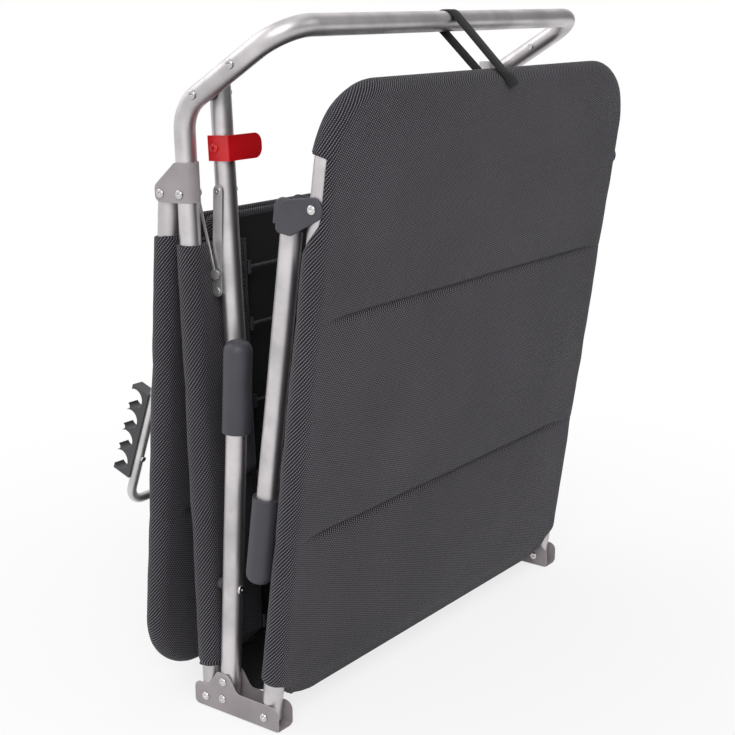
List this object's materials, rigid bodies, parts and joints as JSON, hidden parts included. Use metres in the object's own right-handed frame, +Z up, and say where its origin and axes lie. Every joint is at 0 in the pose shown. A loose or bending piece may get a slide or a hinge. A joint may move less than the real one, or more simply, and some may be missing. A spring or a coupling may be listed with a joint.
{
  "type": "folding lounger",
  "caption": "Folded sun lounger and camp bed: bent aluminium tube frames, charcoal padded mesh covers, tripod legs, notched backrest adjuster and red lock clips.",
  "frame": {"origin": "On the floor, in the middle of the folded lounger as it stands on its two bottom brackets.", "axes": "+Z up; +X across the width, to the right seen from the foot section; +Y from the foot section to the backrest."},
  "size_m": [0.677, 0.385, 0.8397],
  "materials": {
    "anodised_tube": "satin anodised",
    "rod_steel": "bright zinc plated",
    "bracket_grey": "matt powder coat",
    "rivet_steel": "plain bright rivet",
    "dark_plastic": "fine moulded grain",
    "rack_plastic": "smooth moulded",
    "red_plastic": "semi-gloss moulded",
    "bumper_rubber": "matt",
    "cover_fabric": "woven mesh cloth over foam",
    "elastic_lacing": "braided elastic",
    "strap_webbing": "woven elastic webbing"
  },
  "bodies": {
    "standing_base": {"left_bottom_bracket": "bracket_grey", "right_bottom_bracket": "bracket_grey", "bottom_rivets": "rivet_steel", "left_middle_leg": "anodised_tube", "right_middle_leg": "anodised_tube", "left_middle_foot": "dark_plastic", "right_middle_foot": "dark_plastic", "middle_leg_bumpers": "bumper_rubber", "bumper_rivets": "rivet_steel"},
    "foot_section": {"foot_frame": "anodised_tube", "foot_pad": "cover_fabric", "foot_lacing": "elastic_lacing", "foot_leg_pins": "rivet_steel", "closing_strap": "strap_webbing"},
    "seat": {"seat_frame": "anodised_tube", "seat_pad": "cover_fabric", "seat_lacing": "elastic_lacing", "left_top_bracket": "bracket_grey", "right_top_bracket": "bracket_grey", "top_rivets": "rivet_steel", "head_leg_pins": "rivet_steel", "head_leg_spacers": "dark_plastic", "stop_studs": "rivet_steel"},
    "backrest": {"backrest_frame": "anodised_tube", "backrest_pad": "cover_fabric", "backrest_lacing": "elastic_lacing", "adjuster_pins": "rivet_steel"},
    "adjuster": {"adjuster_rod": "rod_steel", "left_rack": "rack_plastic", "right_rack": "rack_plastic", "rack_screws": "rivet_steel"},
    "left_foot_leg_assembly": {"left_foot_leg": "anodised_tube", "left_hinge_cap": "dark_plastic", "left_foot_leg_foot": "dark_plastic"},
    "left_head_leg_assembly": {"left_head_leg": "anodised_tube", "left_head_foot": "dark_plastic", "left_lock_clip": "red_plastic", "left_clip_rivet": "red_plastic", "left_brace_leg_rivet": "rivet_steel"},
    "left_brace_wire_link": {"left_brace_wire": "rod_steel"},
    "left_brace_plate_link": {"left_brace_plate": "rod_steel"},
    "right_foot_leg_assembly": {"right_foot_leg": "anodised_tube", "right_hinge_cap": "dark_plastic", "right_foot_leg_foot": "dark_plastic"},
    "right_head_leg_assembly": {"right_head_leg": "anodised_tube", "right_head_foot": "dark_plastic", "right_lock_clip": "red_plastic", "right_clip_rivet": "red_plastic", "right_brace_leg_rivet": "rivet_steel"},
    "right_brace_wire_link": {"right_brace_wire": "rod_steel"},
    "right_brace_plate_link": {"right_brace_plate": "rod_steel"}
  },
  "joints": [
    {"name": "foot_section_fold", "type": "hinge", "parent": "standing_base", "child": "foot_section", "pos_m": [0, -0.07629, 0.016], "axis": [1, 0, 0], "range_deg": [0, 82.4], "deforming": ["closing_strap"]},
    {"name": "seat_fold", "type": "hinge", "parent": "standing_base", "child": "seat", "pos_m": [0, 0.01771, 0.016], "axis": [1, 0, 0], "range_deg": [-88.38, 0]},
    {"name": "backrest_fold", "type": "hinge", "parent": "seat", "child": "backrest", "pos_m": [0, 0.06525, 0.6359], "axis": [1, 0, 0], "range_deg": [0, 173.88]},
    {"name": "adjuster_swing", "type": "hinge", "parent": "backrest", "child": "adjuster", "pos_m": [0, 0.07529, 0.5083], "axis": [1, 0, 0], "range_deg": [0, 42]},
    {"name": "left_foot_leg_fold", "type": "hinge", "parent": "foot_section", "child": "left_foot_leg_assembly", "pos_m": [-0.32, -0.15909, 0.6365], "axis": [1, 0, 0], "range_deg": [0, 37.1]},
    {"name": "left_head_leg_fold", "type": "hinge", "parent": "seat", "child": "left_head_leg_assembly", "pos_m": [-0.286, 0.01249, 0.74949], "axis": [1, 0, 0], "range_deg": [-105.1, 0]},
    {"name": "left_brace_wire_turn", "type": "hinge", "parent": "seat", "child": "left_brace_wire_link", "pos_m": [-0.3044, 0.03526, 0.63675], "axis": [1, 0, 0], "range_deg": [-125.04, 0]},
    {"name": "left_brace_plate_turn", "type": "hinge", "parent": "left_head_leg_assembly", "child": "left_brace_plate_link", "pos_m": [-0.2997, 0.00717, 0.63962], "axis": [1, 0, 0], "range_deg": [0, 143.83]},
    {"name": "right_foot_leg_fold", "type": "hinge", "parent": "foot_section", "child": "right_foot_leg_assembly", "pos_m": [0.32, -0.15909, 0.6365], "axis": [1, 0, 0], "range_deg": [0, 37.1]},
    {"name": "right_head_leg_fold", "type": "hinge", "parent": "seat", "child": "right_head_leg_assembly", "pos_m": [0.286, 0.01249, 0.74949], "axis": [1, 0, 0], "range_deg": [-105.1, 0]},
    {"name": "right_brace_wire_turn", "type": "hinge", "parent": "seat", "child": "right_brace_wire_link", "pos_m": [0.3044, 0.03526, 0.63675], "axis": [1, 0, 0], "range_deg": [-125.04, 0]},
    {"name": "right_brace_plate_turn", "type": "hinge", "parent": "right_head_leg_assembly", "child": "right_brace_plate_link", "pos_m": [0.2997, 0.00717, 0.63962], "axis": [1, 0, 0], "range_deg": [0, 143.83]}
  ],
  "couplings": [
    {"joint": "left_foot_leg_fold", "follows": "foot_section_fold", "ratio": 0.44903},
    {"joint": "left_head_leg_fold", "follows": "seat_fold", "ratio": 1.1881},
    {"joint": "left_brace_wire_turn", "follows": "seat_fold", "ratio": 1.4114},
    {"joint": "left_brace_plate_turn", "follows": "seat_fold", "ratio": -1.624},
    {"joint": "right_foot_leg_fold", "follows": "foot_section_fold", "ratio": 0.44903},
    {"joint": "right_head_leg_fold", "follows": "seat_fold", "ratio": 1.1881},
    {"joint": "right_brace_wire_turn", "follows": "seat_fold", "ratio": 1.4114},
    {"joint": "right_brace_plate_turn", "follows": "seat_fold", "ratio": -1.624}
  ]
}
